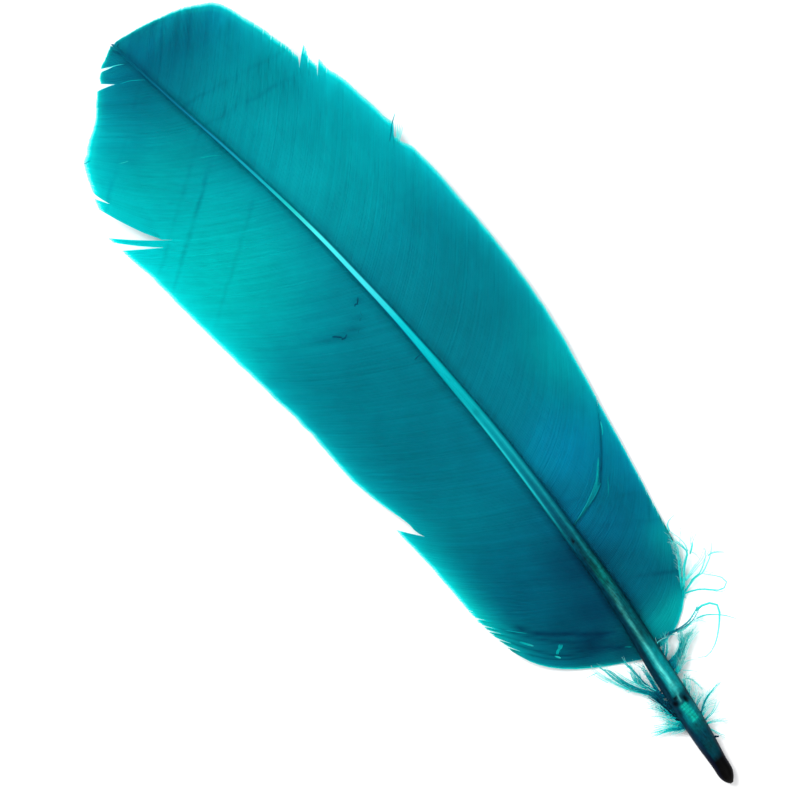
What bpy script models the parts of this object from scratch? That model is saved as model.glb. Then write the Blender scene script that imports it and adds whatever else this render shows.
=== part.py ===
# A dyed turkey wing feather, lying with its hollow underside up.
# It is one grown piece: quill and rachis, two vanes in locks, and the down at their foot.
# Blender works in metres here. The sizes below are millimetres, measured from the quill's
# end: y runs to the feather's tip, x to the right of it, z up from the surface.

import math

import bmesh
import bpy
import numpy as np
from mathutils import Vector

MM = 0.001

# Shaft, as pairs of y and a size there
LENGTH = 279.6
SHAFT_MIDDLE = [(0, -0.5), (10, 0.9), (25, 3.0), (45, 5.8), (60, 8.0), (85, 10.2),
                (120, 12.1), (165, 12.1), (200, 10.4), (233, 6.4), (256, 3.0), (280, 0.0)]
SHAFT_WIDTH = [(0, 1.0), (1.2, 3.0), (3, 4.5), (7, 4.9), (15, 6.1), (25, 6.6), (35, 6.6),
               (60, 5.4), (85, 4.6), (112, 3.9), (150, 2.8), (200, 1.6), (240, 1.0), (280, 0.5)]
SHAFT_HEIGHT = [(0, 1.0), (1.2, 2.8), (3, 4.2), (7, 4.8), (15, 5.8), (25, 6.2), (35, 6.0),
                (60, 5.4), (85, 4.7), (112, 4.1), (150, 3.1), (200, 2.0), (240, 1.3), (280, 0.7)]
GROOVE_DEPTH = [(0, 0), (24, 0), (27.5, 1.3), (31, 0.5), (45, 0.5), (85, 0.6), (150, 0.3),
                (210, 0.1), (280, 0)]
SHAFT_ANGLES = (-105, -75, -42, -8, 28, 58, 90, 122, 152, 188, 222)
UNDERSIDE_ANGLES = (-105, -75)
GROOVE_ANGLE = 90
SHAFT_RINGS = (0, 0.5, 1.2, 3, 5, 7, 10, 13, 17, 21, 24, 27.5, 31, 35, 40, 45, 52)
RING_SPACING = 7.5

# How the feather lies: flat to here, then rising to its tip
FLAT_TO = 165
TIP_RISE = 8.0

# Vanes
VANE_HEIGHT = [(0, 1.4), (45, 1.3), (85, 1.1), (150, 0.9), (200, 0.8), (280, 0.45)]
LOW_POINT = 0.45
LOW_POINT_AT = 12
EDGE_RISE = 4.4
EDGE_CURL = 1.7
WIDEST = 38
ROOT_THICKNESS = 0.56
EDGE_THICKNESS = 0.36
LOCK_CREST = 0.32
CREST_AT = 0.62
CREST_REACH = 0.45
STEPS_ALONG_BARB = 8

# Guide barbs of each vane: root y, end x, end y, root angle and end angle from +Y.
# Every barb between them is worked out, from its root inside the shaft to the vane's edge.
LEFT_GUIDES = [
    (43.2, -24.6, 69.5, 62, 18), (57, -26.4, 82, 58, 34), (71, -26.8, 98, 58, 41),
    (85, -27.0, 112.5, 60, 38), (100, -26.2, 125, 62, 42), (111, -28.2, 138, 63, 46),
    (130, -28.7, 157, 64, 48), (152, -31.0, 180, 64, 48), (172, -33.0, 200, 65, 46),
    (192, -34.6, 221, 65, 44), (206.6, -36.8, 237, 65, 44), (214, -34.0, 244.6, 66, 38),
    (220, -31.5, 251, 68, 32), (228, -28.9, 257.1, 70, 36), (240, -25.0, 260.8, 70, 50),
    (253, -17.2, 266.6, 68, 58), (265.7, -11.0, 272.8, 66, 62), (272.9, -7.0, 275.9, 68, 66),
    (278.4, -1.0, 279.3, 60, 60)]
RIGHT_GUIDES = [
    (43.8, 32.2, 66, 96, 14), (60, 34.4, 77, 86, 26), (73, 37.5, 91, 82, 30),
    (86.4, 41.4, 110.6, 80, 30), (103, 45.6, 131.5, 74, 34), (125, 48.2, 154, 68, 37),
    (150, 48.7, 182, 64, 40), (175, 47.3, 208, 60, 40), (198, 44.7, 229.5, 58, 42),
    (218, 38.8, 246, 56, 44), (234, 34.6, 260, 54, 44), (247, 30.4, 269.6, 54, 46),
    (257, 22, 274.4, 56, 48), (267, 13, 277.2, 54, 52), (278.6, 1.6, 279.4, 50, 50)]
ROOT_OFFSET = 0.12
ROOT_PULL = 0.42
END_PULL = 0.34

# Splits: root y, share of the barb where it opens, then how far the barb ends below it
# and above it are moved, and over how many millimetres of root that fades
LEFT_SPLITS = [
    (90, 0.84, (-0.9, 2.4), 12, (3.0, -0.8), 14),
    (204.4, 0.75, (0.4, -2.4), 10, (0.0, 0.8), 2.2),
    (206.6, 0.75, (0.0, 0.2), 2.2, (3.3, 8.0), 16),
    (214, 0.92, (-0.5, -0.3), 5, (0.5, 0.2), 5),
    (265.7, 0.60, (-0.9, -0.8), 6, (1.1, 0.2), 5),
    (272.9, 0.25, (-0.2, -0.4), 4, (0.1, 0.4), 3)]
RIGHT_SPLITS = [
    (86.4, 0.40, (-0.4, -0.9), 10, (0.6, 0.9), 10),
    (176, 0.88, (-1.0, -1.0), 5, (0.6, 0.9), 5),
    (207, 0.90, (0.9, 1.0), 4, (-0.7, -0.4), 3),
    (213.5, 0.90, (2.2, 1.4), 3.5, (-1.0, -0.3), 6)]
SPLIT_CURVE = 1.3
LOCK_SPACING = 7.4
CLOSEST_LOCKS = 3.4

# Down at the foot of the vanes: thickness at root, then the points that each lock follows
DOWN_LOCKS = [
    (1.5, [(6, 44.6, 2.6), (12.5, 45.2, 2.6), (20, 43.8, 3), (25.5, 45.3, 3.4), (29.2, 43.2, 3.6),
           (27.6, 39.4, 3.2), (22, 34, 2.4), (17.9, 32.6, 1.8), (15.4, 33.8, 1.6)]),
    (1.2, [(16.4, 44.5, 2.8), (21, 43.4, 2.9), (25, 42.3, 2.6), (28, 39.4, 2), (31.2, 35.6, 1.4)]),
    (1.2, [(21, 50.2, 0.5), (26, 49.6, 1.6), (29.4, 47, 2.8), (32.4, 45.1, 2.8), (35.6, 45.2, 2.8),
           (36, 47.4, 3), (33.6, 50.2, 3.2), (31.2, 53, 3.4)]),
    (1.5, [(22, 54.6, 0.5), (29, 52.8, 1.8), (34, 54.6, 3.2), (40.6, 53, 3)]),
    (1.5, [(25, 57.4, 0.7), (31, 56, 2.2), (35, 56, 3.4), (38.8, 57.6, 3.8)]),
    (1.4, [(27, 60.4, 0.9), (32, 59.6, 2.6), (35.6, 61, 3.8), (38, 63.2, 4.2)]),
    (1.2, [(29.6, 66.6, 1.2), (33, 66.4, 2.8), (35, 67.6, 4.2), (37, 70.4, 4.6)]),
    (2.2, [(5.5, 38.6, 2.6), (11, 39.2, 2.8), (14.6, 41, 3), (16.4, 44, 3.4)]),
    (2.2, [(5.5, 35.6, 2.4), (10.5, 36.4, 2.4), (15.4, 40.8, 2.6), (20, 42, 2.4), (23.4, 40.8, 2)]),
    (1.2, [(5, 33, 2.6), (9.4, 35.2, 2.6), (15, 33.4, 1.6)]),
    (1.2, [(4.5, 29, 2.8), (8.4, 32, 3), (10.6, 30.4, 2.8), (10.2, 26.6, 2)]),
    (1.4, [(3.5, 20, 2.4), (7.4, 22.2, 2.4), (10.8, 23.9, 2.2), (15.8, 24.7, 1.6)]),
    (1.1, [(3.5, 18.6, 2.4), (7.4, 19.2, 2.2), (11.6, 20.8, 1.6)]),
    (1.1, [(3.2, 17.6, 2.4), (7.4, 17, 2), (11, 14.4, 1.2)]),
    (1.9, [(2.5, 33, 2.4), (-2.6, 36.6, 2.4), (-5.6, 41.6, 2.6), (-7.6, 46.6, 3), (-9.6, 51, 3.4)]),
    (1.2, [(-2, 36, 2.2), (-6.4, 40, 2.2), (-9.6, 45, 2.2), (-14.2, 50.8, 2)]),
    (2.4, [(3, 31, 2.6), (-1, 36, 2.6), (-2.4, 41.4, 2.8), (-1.8, 47, 2.8)]),
    (1.6, [(2, 25.6, 2.6), (-1.8, 28.6, 2.4), (-3.4, 32.6, 2.2), (-5.6, 34.4, 1.8)]),
    (1.7, [(2, 20.6, 2.4), (-2.6, 22.6, 2.4), (-5.8, 24.4, 2.2), (-9.2, 25.3, 1.8)]),
    (1.3, [(2, 22, 2.6), (-2, 24.2, 2.6), (-4, 26.4, 2.4), (-6.6, 28.6, 2)])]
DOWN_TIP = 0.34
DOWN_TAPER = 0.8
DOWN_FLATNESS = 0.6
DOWN_SIDES = 5
DOWN_STEP = 2.6


def through(pairs):
    """A smooth curve through points given as (key, value, ...), as a function of the key."""
    keys = np.array([pair[0] for pair in pairs], float)
    values = np.array([pair[1:] for pair in pairs], float)
    steps = np.diff(keys)
    slopes = np.diff(values, axis=0) / steps[:, None]
    tangents = np.vstack([slopes[:1], (slopes[1:] + slopes[:-1]) / 2, slopes[-1:]])
    flat = slopes[1:] * slopes[:-1] <= 0
    tangents[1:-1][flat] = 0

    def value(key):
        i = int(np.clip(np.searchsorted(keys, key) - 1, 0, len(steps) - 1))
        t = float(np.clip((key - keys[i]) / steps[i], 0, 1))
        start = (2 * t**3 - 3 * t**2 + 1) * values[i] + (t**3 - 2 * t**2 + t) * steps[i] * tangents[i]
        end = (3 * t**2 - 2 * t**3) * values[i + 1] + (t**3 - t**2) * steps[i] * tangents[i + 1]
        found = start + end
        return float(found[0]) if len(found) == 1 else found

    return value


def smooth_step(share):
    share = min(max(share, 0.0), 1.0)
    return share * share * (3 - 2 * share)


middle_at = through(SHAFT_MIDDLE)
width_at = through(SHAFT_WIDTH)
height_at = through(SHAFT_HEIGHT)
groove_at = through(GROOVE_DEPTH)
vane_height_at = through(VANE_HEIGHT)


def lift_at(y):
    """How far the shaft's underside is above the surface: the flat stretch, then the raised tip."""
    beyond = max(y - FLAT_TO, 0) / (LENGTH - FLAT_TO)
    return TIP_RISE * beyond**2


def quill_lift(y):
    """The quill's blunt end narrows towards its own middle, not towards the surface."""
    return max(0.0, (height_at(10) - height_at(min(y, 10))) / 2)


def mesh_object(name, bm):
    bmesh.ops.recalc_face_normals(bm, faces=bm.faces[:])
    mesh = bpy.data.meshes.new(name)
    bm.to_mesh(mesh)
    bm.free()
    found = bpy.data.objects.new(name, mesh)
    bpy.context.scene.collection.objects.link(found)
    return found


def shaft_ring(y):
    """One cross-section, with a flat underside and a groove along its upper face."""
    width, height, groove = width_at(y), height_at(y), groove_at(y)
    base = lift_at(y) + quill_lift(y)
    ring = []
    for angle in SHAFT_ANGLES:
        across = math.cos(math.radians(angle))
        up = 0.5 * (1 + math.sin(math.radians(angle)))
        if angle in UNDERSIDE_ANGLES:
            up = 0.0
        drop = groove if angle == GROOVE_ANGLE else 0.0
        ring.append((middle_at(y) + 0.5 * width * across, y, base + height * up - drop))
    return ring


def shaft():
    count = int((LENGTH - SHAFT_RINGS[-1]) / RING_SPACING)
    stations = [*SHAFT_RINGS[:-1], *np.linspace(SHAFT_RINGS[-1], LENGTH, count)]
    bm = bmesh.new()
    rings = [[bm.verts.new(Vector(p) * MM) for p in shaft_ring(float(y))] for y in stations]
    sides = len(SHAFT_ANGLES)
    for near, far in zip(rings, rings[1:]):
        for k in range(sides):
            bm.faces.new((near[k], near[(k + 1) % sides], far[(k + 1) % sides], far[k]))
    bm.faces.new(rings[0])
    bm.faces.new(rings[-1])
    return mesh_object("shaft", bm)


def from_shaft(angle, side):
    """The direction at this angle from +Y, towards the vane's own side."""
    return np.array([side * math.sin(math.radians(angle)), math.cos(math.radians(angle))])


def barb_point(vane, root, share, above):
    """A point of the barb that starts at this root y. Where a split starts at this very
    root, above says which of its two sides is meant."""
    end_x, end_y, root_angle, end_angle = vane["guide"](root)
    side = vane["side"]
    start = np.array([middle_at(root) + side * ROOT_OFFSET * width_at(root), root])
    end = np.array([end_x, end_y])
    reach = np.linalg.norm(end - start)
    pull = start + ROOT_PULL * reach * from_shaft(root_angle, side)
    push = end - END_PULL * reach * from_shaft(end_angle, side)
    t = share
    point = (1 - t) ** 3 * start + 3 * (1 - t) ** 2 * t * pull + 3 * (1 - t) * t**2 * push + t**3 * end
    for split_root, opens, below_move, below_fade, above_move, above_fade in vane["splits"]:
        if share <= opens:
            continue
        is_above = root > split_root or (root == split_root and above)
        move, fade = (above_move, above_fade) if is_above else (below_move, below_fade)
        amount = smooth_step(1 - abs(root - split_root) / fade)
        point = point + amount * ((share - opens) / (1 - opens)) ** SPLIT_CURVE * np.array(move)
    return point


def vane_surface(x, y):
    """Height of the vane's middle: it leaves the shaft low down, dips to the surface and
    then curls up towards its edge."""
    away = abs(x - middle_at(y))
    start = vane_height_at(y)
    dip = start + (LOW_POINT - start) * smooth_step(away / LOW_POINT_AT)
    curl = max(away - LOW_POINT_AT, 0) / (WIDEST - LOW_POINT_AT)
    return lift_at(y) + dip + EDGE_RISE * curl**EDGE_CURL


def vane_thickness(x, y):
    away = abs(x - middle_at(y))
    return ROOT_THICKNESS + (EDGE_THICKNESS - ROOT_THICKNESS) * min(away / WIDEST, 1)


def lock_roots(vane):
    """Root y of each line between two locks: evenly spaced, with one at every split."""
    low, high = vane["guides"][0][0], vane["guides"][-1][0]
    splits = [split[0] for split in vane["splits"]]
    even = np.linspace(low, high, round((high - low) / LOCK_SPACING) + 1)
    kept = [float(y) for y in even[1:-1] if min(abs(y - s) for s in splits) > CLOSEST_LOCKS]
    return sorted([float(low), float(high), *map(float, splits), *kept])


def vane_sheet(vane):
    """All locks of one vane as one closed sheet, parted only where it is split."""
    bm = bmesh.new()
    made = {}

    def corner(root, step, above, crest=0.0):
        share = step / STEPS_ALONG_BARB
        x, y = barb_point(vane, root, share, above)
        if step == STEPS_ALONG_BARB:
            angle = vane["guide"](root)[3]
            x, y = np.array([x, y]) + CREST_REACH * crest * from_shaft(angle, vane["side"])
        raised = LOCK_CREST * crest if step else 0.0
        key = (round(x, 4), round(y, 4))
        if key not in made:
            z = vane_surface(x, y) + vane_thickness(x, y) / 2 + raised
            made[key] = bm.verts.new(Vector((x, y, z)) * MM)
        return made[key]

    roots = lock_roots(vane)
    for low, high in zip(roots, roots[1:]):
        fullness = (high - low) / LOCK_SPACING
        middle = low + CREST_AT * (high - low)
        rows = [
            [corner(low, step, True) for step in range(STEPS_ALONG_BARB + 1)],
            [corner(middle, step, True, fullness) for step in range(STEPS_ALONG_BARB + 1)],
            [corner(high, step, False) for step in range(STEPS_ALONG_BARB + 1)],
        ]
        for near, far in zip(rows, rows[1:]):
            for step in range(STEPS_ALONG_BARB):
                bm.faces.new((near[step], near[step + 1], far[step + 1], far[step]))
    bmesh.ops.triangulate(bm, faces=bm.faces[:])
    lower = bmesh.ops.extrude_face_region(bm, geom=bm.faces[:])
    for vert in (item for item in lower["geom"] if isinstance(item, bmesh.types.BMVert)):
        x, y = vert.co.x / MM, vert.co.y / MM
        vert.co.z = (vane_surface(x, y) - vane_thickness(x, y) / 2) * MM
    return mesh_object(vane["name"], bm)


def down_lock(index, thickness, points):
    """A tapered, flattened strand that follows its points on a smooth curve."""
    points = np.array(points, float)
    lengths = np.linalg.norm(np.diff(points, axis=0), axis=1)
    along = np.concatenate([[0], np.cumsum(lengths)])
    path = through([(s, *point) for s, point in zip(along, points)])
    count = max(3, round(along[-1] / DOWN_STEP))
    bm = bmesh.new()
    rings = []
    for k in range(count + 1):
        s = along[-1] * k / count
        here = Vector(path(s))
        ahead = Vector(path(min(s + 0.1, along[-1]))) - Vector(path(max(s - 0.1, 0)))
        ahead.normalize()
        across = ahead.cross(Vector((0, 0, 1))).normalized()
        up = across.cross(ahead)
        radius = 0.5 * (thickness + (DOWN_TIP - thickness) * (k / count) ** DOWN_TAPER)
        ring = []
        for side in range(DOWN_SIDES):
            angle = 2 * math.pi * (side + 0.25) / DOWN_SIDES
            offset = radius * (math.cos(angle) * across + DOWN_FLATNESS * math.sin(angle) * up)
            ring.append(bm.verts.new((here + offset) * MM))
        rings.append(ring)
    for near, far in zip(rings, rings[1:]):
        for k in range(DOWN_SIDES):
            nxt = (k + 1) % DOWN_SIDES
            bm.faces.new((near[k], near[nxt], far[nxt], far[k]))
    bm.faces.new(rings[0])
    bm.faces.new(rings[-1])
    return mesh_object(f"down_lock_{index}", bm)


def principled(name, colour, roughness):
    material = bpy.data.materials.new(name)
    material.use_nodes = True
    shader = material.node_tree.nodes["Principled BSDF"]
    shader.inputs["Base Color"].default_value = (*colour, 1)
    shader.inputs["Roughness"].default_value = roughness
    shader.inputs["Metallic"].default_value = 0.0
    material.diffuse_color = (*colour, 1)
    return material


def centred(objects):
    """An empty that holds every object, placed so that the feather is centred on the origin."""
    corners = [v.co for item in objects for v in item.data.vertices]
    low = Vector([min(c[axis] for c in corners) for axis in range(3)])
    high = Vector([max(c[axis] for c in corners) for axis in range(3)])
    holder = bpy.data.objects.new("holder", None)
    bpy.context.scene.collection.objects.link(holder)
    holder.location = (-(low.x + high.x) / 2, -(low.y + high.y) / 2, -low.z)
    for item in objects:
        item.parent = holder
    return holder


def feather():
    """The shaft takes in both vanes and all the down, as one grown piece."""
    left = {"name": "left_vane", "side": -1, "guides": LEFT_GUIDES,
            "guide": through(LEFT_GUIDES), "splits": LEFT_SPLITS}
    right = {"name": "right_vane", "side": 1, "guides": RIGHT_GUIDES,
             "guide": through(RIGHT_GUIDES), "splits": RIGHT_SPLITS}
    whole = shaft()
    joined = [vane_sheet(left), vane_sheet(right)]
    joined += [down_lock(i, *lock) for i, lock in enumerate(DOWN_LOCKS, 1)]
    centred([whole, *joined])
    parts = bpy.data.collections.new("grown_together")
    bpy.context.scene.collection.children.link(parts)
    for item in joined:
        bpy.context.scene.collection.objects.unlink(item)
        parts.objects.link(item)
        item.hide_render = True
        item.display_type = "WIRE"
    union = whole.modifiers.new("grown_together", "BOOLEAN")
    union.operation = "UNION"
    union.operand_type = "COLLECTION"
    union.collection = parts
    union.solver = "EXACT"
    whole.name = "feather"
    whole.data.name = "feather"
    whole.data.materials.append(principled("dyed_keratin", (0.0, 0.28, 0.36), 0.45))
    whole.data.shade_smooth()
    whole.data.set_sharp_from_angle(angle=math.radians(35))
    return whole


def main():
    for item in list(bpy.data.objects):
        bpy.data.objects.remove(item, do_unlink=True)
    feather()


main()
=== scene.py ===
# A turkey wing feather dyed turquoise, lying on a pale surface with its hollow underside up.
import math
from functools import partial

import bmesh
import bpy
import numpy as np
from mathutils import Matrix, Vector


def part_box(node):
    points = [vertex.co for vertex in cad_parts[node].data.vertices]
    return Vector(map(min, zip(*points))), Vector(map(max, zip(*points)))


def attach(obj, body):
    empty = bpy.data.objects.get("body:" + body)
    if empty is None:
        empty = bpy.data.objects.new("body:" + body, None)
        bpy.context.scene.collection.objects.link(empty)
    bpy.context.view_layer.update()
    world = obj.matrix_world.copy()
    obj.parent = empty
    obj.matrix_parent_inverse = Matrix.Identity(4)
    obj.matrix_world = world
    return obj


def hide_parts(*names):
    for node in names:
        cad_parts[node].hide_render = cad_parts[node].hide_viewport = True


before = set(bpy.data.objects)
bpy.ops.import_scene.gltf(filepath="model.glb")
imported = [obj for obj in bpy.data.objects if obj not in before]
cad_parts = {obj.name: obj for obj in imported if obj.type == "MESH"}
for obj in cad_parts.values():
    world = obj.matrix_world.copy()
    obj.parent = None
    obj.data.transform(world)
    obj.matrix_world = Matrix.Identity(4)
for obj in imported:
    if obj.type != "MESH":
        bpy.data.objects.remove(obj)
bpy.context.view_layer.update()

# Sizes are millimetres from the quill's end: y to the tip, x to the right of it, z up.
# Blender's metres start at the middle of the feather's box, so toRow is added at the end.
mm = 0.001
feather = {"length": 279.6, "boxMiddleX": 6.055}
boxLow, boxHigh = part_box("feather")
toRow = np.array([-feather["boxMiddleX"], boxLow.y / mm, boxLow.z / mm])


def through(points):
    # a smooth curve through (key, value, ...) points, read at many keys at once
    keys = np.array([p[0] for p in points], float)
    values = np.array([p[1:] for p in points], float)
    steps = np.diff(keys)
    slopes = np.diff(values, axis=0) / steps[:, None]
    tangents = np.vstack([slopes[:1], (slopes[1:] + slopes[:-1]) / 2, slopes[-1:]])
    tangents[1:-1][slopes[1:] * slopes[:-1] <= 0] = 0

    def at(key):
        key = np.clip(np.asarray(key, float), keys[0], keys[-1])
        i = np.clip(np.searchsorted(keys, key) - 1, 0, len(steps) - 1)
        step = steps[i][..., None]
        t = (key - keys[i])[..., None] / step
        start = (2 * t**3 - 3 * t**2 + 1) * values[i] + (t**3 - 2 * t**2 + t) * step * tangents[i]
        end = (3 * t**2 - 2 * t**3) * values[i + 1] + (t**3 - t**2) * step * tangents[i + 1]
        found = start + end
        return found[..., 0] if values.shape[1] == 1 else found

    return at


def smooth(share):
    share = np.clip(share, 0, 1)
    return share * share * (3 - 2 * share)


def unit(vectors):
    return vectors / np.maximum(np.linalg.norm(vectors, axis=-1, keepdims=True), 1e-9)


def wander(rng, keys, step):
    # a slow random value from -1 to 1, which changes over about one step
    span = keys.max() - keys.min() + 2 * step
    knots = np.arange(int(span / step) + 3)
    curve = through([(k, v) for k, v in zip(knots, rng.uniform(-1, 1, len(knots)))])
    return curve((keys - keys.min()) / step + 0.5)


# The surface that the shaft and the vanes lie on, as in the solid part
body = {
    "middle": [(0, -0.5), (10, 0.9), (25, 3), (45, 5.8), (60, 8), (85, 10.2), (120, 12.1), (140, 12.25), (165, 12),
               (182, 11.22), (200, 10.12), (233, 6.35), (256, 3), (280, 0)],
    "width": [(0, 1), (1.2, 3), (3, 4.5), (7, 4.9), (15, 6.1), (25, 6.6), (35, 6.6), (60, 5.4), (85, 4.6), (112, 3.9),
              (150, 2.8), (200, 1.6), (240, 1), (280, 0.5)],
    "height": [(0, 1), (1.2, 2.8), (3, 4.2), (7, 4.8), (15, 5.8), (25, 6.2), (35, 6), (60, 5.4), (85, 4.7),
               (112, 4.1), (150, 3.1), (200, 2), (240, 1.3), (280, 0.7)],
    "flatTo": 165, "tipRise": 8,
    "vaneRoot": [(0, 1.4), (45, 1.3), (85, 1.1), (150, 0.9), (200, 0.8), (280, 0.45)],
    "lowPoint": 0.45, "lowPointAt": 12, "edgeRise": 4.4, "widest": 38,
}
middleAt, widthAt, heightAt, vaneRootAt = (
    through(body[key]) for key in ("middle", "width", "height", "vaneRoot"))


def liftAt(y):
    return body["tipRise"] * (np.maximum(y - body["flatTo"], 0) / (feather["length"] - body["flatTo"])) ** 2


def vaneSurface(x, y):
    away = np.abs(x - middleAt(y))
    start = vaneRootAt(y)
    dip = start + (body["lowPoint"] - start) * smooth(away / body["lowPointAt"])
    curl = np.maximum(away - body["lowPointAt"], 0) / (body["widest"] - body["lowPointAt"])
    return liftAt(y) + dip + body["edgeRise"] * curl**1.7


def rowOfBars(name, count, rings, sides):
    # straight bars along x from 0 to 1, side by side, which are bent into place afterwards
    bm = bmesh.new()
    bmesh.ops.create_cone(bm, cap_ends=True, segments=sides, radius1=1, radius2=1, depth=1)
    tall = [e for e in bm.edges if abs(e.verts[0].co.z - e.verts[1].co.z) > 0.5]
    bmesh.ops.subdivide_edges(bm, edges=tall, cuts=rings - 2)
    bmesh.ops.rotate(bm, verts=bm.verts, cent=(0, 0, 0), matrix=Matrix.Rotation(math.pi / 2, 3, "Y"))
    bmesh.ops.translate(bm, verts=bm.verts, vec=(0.5, 0, 0))
    made = 1
    while made < count:
        more = min(made, count - made)
        reach = 4 * more - 2
        source = [v for v in bm.verts if v.co.y < reach]
        source += [item for item in [*bm.edges, *bm.faces] if item.verts[0].co.y < reach]
        copied = bmesh.ops.duplicate(bm, geom=source)["geom"]
        moved = [item for item in copied if isinstance(item, bmesh.types.BMVert)]
        bmesh.ops.translate(bm, verts=moved, vec=(0, 4 * made, 0))
        made += more
    mesh = bpy.data.meshes.new(name)
    bm.to_mesh(mesh)
    bm.free()
    flat = np.empty(len(mesh.vertices) * 3, np.float32)
    mesh.vertices.foreach_get("co", flat)
    return mesh, flat.reshape(-1, 3).astype(float)


def placed(name, mesh, at, marks):
    # moves a mesh's points to their millimetre places and stores each mark on them
    mesh.vertices.foreach_set("co", ((at + toRow) * mm).astype(np.float32).ravel())
    for key, values in marks.items():
        kind, field = ("FLOAT", "value") if values.ndim == 1 else ("FLOAT_VECTOR", "vector")
        mesh.attributes.new(key, kind, "POINT").data.foreach_set(field, values.astype(np.float32).ravel())
    mesh.update()
    mesh.shade_smooth()
    piece = bpy.data.objects.new(name, mesh)
    bpy.context.scene.collection.objects.link(piece)
    return piece


def bentBars(name, centres, halfWidth, halfHeight, marks, sides=4, surface=None, tilt=0.0):
    # centres, halfWidth, halfHeight and marks have a row for each bar and a value for each ring;
    # on a surface, z is the height over it
    count, rings = centres.shape[:2]
    mesh, flat = rowOfBars(name, count, rings, sides)
    bar = np.rint(flat[:, 1] / 4).astype(int)
    ring = np.rint(flat[:, 0] * (rings - 1)).astype(int)
    across = flat[:, 1] - 4 * bar
    ahead = unit(np.gradient(centres, axis=1))
    sideways = unit(np.cross([0, 0, 1.0], ahead))
    upwards = np.cross(ahead, sideways)
    wide = across * halfWidth[bar, ring]
    tall = flat[:, 2] * halfHeight[bar, ring]
    at = centres[bar, ring] + sideways[bar, ring] * wide[:, None]
    if surface is None:
        at += upwards[bar, ring] * tall[:, None]
    else:
        at[:, 2] += surface(at[:, 0], at[:, 1]) + tall + tilt * across
    along = np.cumsum(np.linalg.norm(np.diff(centres, axis=1, prepend=centres[:, :1]), axis=2), axis=1)
    stored = {key: np.broadcast_to(values, (count, rings))[bar, ring] for key, values in marks.items()}
    stored["strand"] = np.stack([along[bar, ring], bar.astype(float), across], axis=1)
    return placed(name, mesh, at, stored)


def fromHex(text):
    # sRGB hex to the linear colour that the nodes work in
    parts = [int(text[i:i + 2], 16) / 255 for i in (1, 3, 5)]
    return tuple(c / 12.92 if c <= 0.04045 else ((c + 0.055) / 1.055) ** 2.4 for c in parts) + (1.0,)


def addNode(tree, kind, output, links=None, **settings):
    # a node with its inputs, each a value or another node's output, and its settings; gives one output
    node = tree.nodes.new("ShaderNode" + kind)
    for key, value in settings.items():
        if key == "stops":
            ramp = node.color_ramp
            while len(ramp.elements) < len(value):
                ramp.elements.new(0.5)
            for element, (place, colour) in zip(ramp.elements, value):
                element.position = place
                element.color = fromHex(colour)
        else:
            setattr(node, key, value)
    for key, value in (links or {}).items():
        if isinstance(value, bpy.types.NodeSocket):
            tree.links.new(value, node.inputs[key])
        else:
            node.inputs[key].default_value = value
    return node.outputs[output]


def newMaterial(name, surface):
    # a material whose shader has the surface's values, and the function that adds its nodes
    material = bpy.data.materials.new(name)
    material.use_nodes = True
    shader = material.node_tree.nodes["Principled BSDF"]
    for key, value in surface.items():
        shader.inputs[key].default_value = value
    return material, partial(addNode, material.node_tree), shader


def alongStops(table):
    # (y, colour) pairs as stops from the quill's end to the tip
    return [(y / feather["length"], colour) for y, colour in table]


def spots(places, x, y):
    # soft round patches of dye: (x, y, reach across, reach along, strength)
    total = np.zeros(x.shape)
    for spotX, spotY, reachX, reachY, strength in places:
        near = ((x - spotX) / reachX) ** 2 + ((y - spotY) / reachY) ** 2
        total = np.maximum(total, strength * np.exp(-near))
    return total


def nearLines(lines, x, y):
    # soft lines: (strength, half width, points)
    total = np.zeros(x.shape)
    for strength, reach, points in lines:
        for (fromX, fromY), (toX, toY) in zip(points, points[1:]):
            share = (x - fromX) * (toX - fromX) + (y - fromY) * (toY - fromY)
            share = np.clip(share / ((toX - fromX) ** 2 + (toY - fromY) ** 2), 0, 1)
            gap = np.hypot(x - fromX - share * (toX - fromX), y - fromY - share * (toY - fromY))
            total = np.maximum(total, strength * np.exp(-(gap / reach) ** 2))
    return total


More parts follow.
